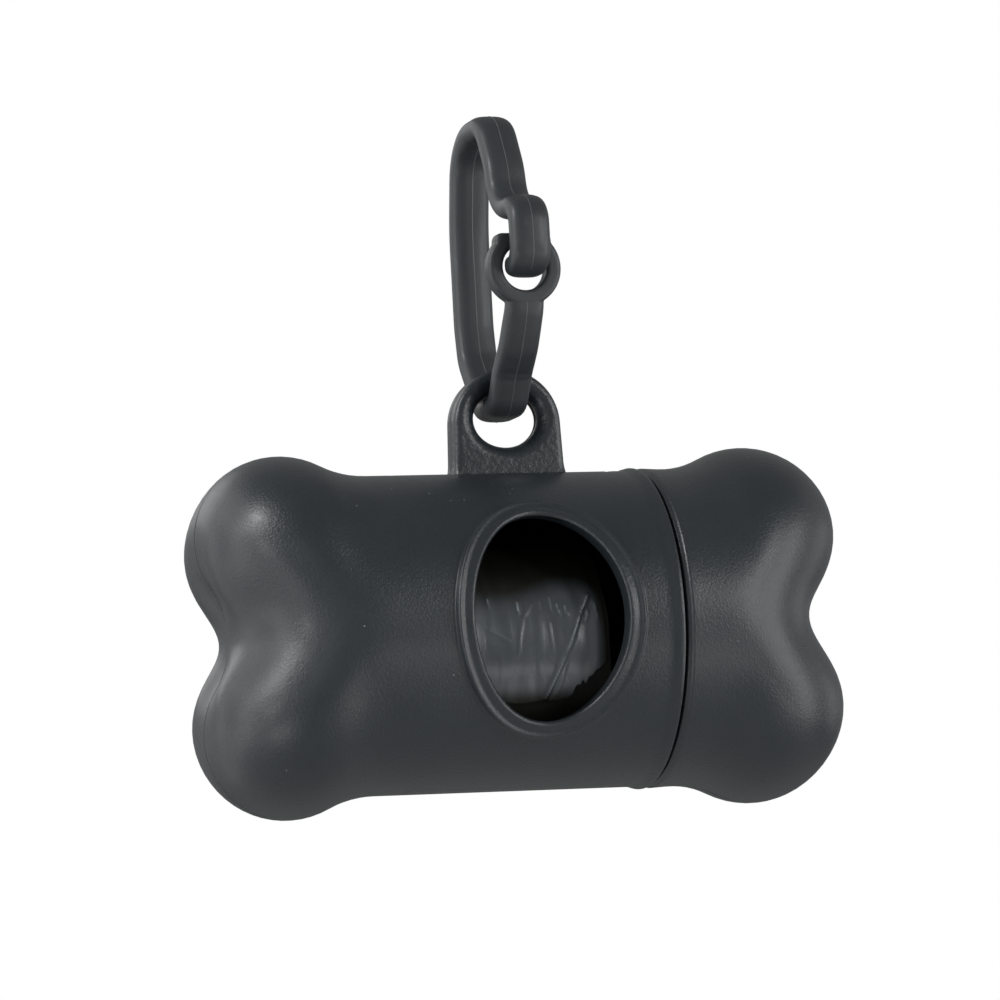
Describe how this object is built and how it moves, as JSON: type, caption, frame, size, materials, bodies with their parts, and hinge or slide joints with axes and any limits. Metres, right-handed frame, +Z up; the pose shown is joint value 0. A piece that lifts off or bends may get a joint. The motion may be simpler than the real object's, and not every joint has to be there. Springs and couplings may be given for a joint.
{
  "type": "dog waste bag dispenser",
  "caption": "Bone-shaped plastic case for a roll of dog waste bags, with an oval dispensing window, a pull-off end cap and a plastic carabiner through a top tab.",
  "frame": {"origin": "underside of the carabiner's crook, where it hangs on a lead, strap or hook", "axes": "+X along the barrel towards the pull-off cap, -Y out of the dispensing window, +Z up"},
  "size_m": [0.0804, 0.0407, 0.0869],
  "materials": {
    "case_plastic": "matte charcoal moulded plastic with a fine speckled grain",
    "clip_plastic": "satin charcoal moulded plastic",
    "bag_film": "thin glossy black film, wrinkled",
    "cardboard": "plain grey-brown cardboard"
  },
  "bodies": {
    "carabiner": {"carabiner_frame": "clip_plastic"},
    "gate": {"carabiner_gate": "clip_plastic"},
    "case": {"case_front_shell": "case_plastic", "case_back_shell": "case_plastic"},
    "sleeve": {"cap_sleeve": "case_plastic"},
    "cap": {"cap_front_shell": "case_plastic", "cap_back_shell": "case_plastic"},
    "roll": {"roll_core": "cardboard", "bag_roll": "bag_film", "bag_leader": "bag_film"}
  },
  "joints": [
    {"name": "gate_flex", "type": "hinge", "parent": "carabiner", "child": "gate", "pos_m": [0.00015, -0.00435, -0.0292], "axis": [-0.9994, -0.0349, 0], "range_deg": [0, 30], "stiffness_Nm_per_rad": 0.02, "springref_deg": -8.59},
    {"name": "case_swing", "type": "hinge", "parent": "carabiner", "child": "case", "pos_m": [0, 0, -0.0352], "axis": [0, 1, 0], "range_deg": [-85, 85]},
    {"name": "cap_pull", "type": "slide", "parent": "case", "child": "sleeve", "axis": [1, 0, 0], "range_m": [0, 0.035]},
    {"name": "cap_turn", "type": "hinge", "parent": "sleeve", "child": "cap", "pos_m": [0.0159, 0, -0.0617], "axis": [1, 0, 0], "continuous": true},
    {"name": "roll_spin", "type": "hinge", "parent": "case", "child": "roll", "pos_m": [-0.0104, 0, -0.0649], "axis": [1, 0, 0], "continuous": true}
  ]
}
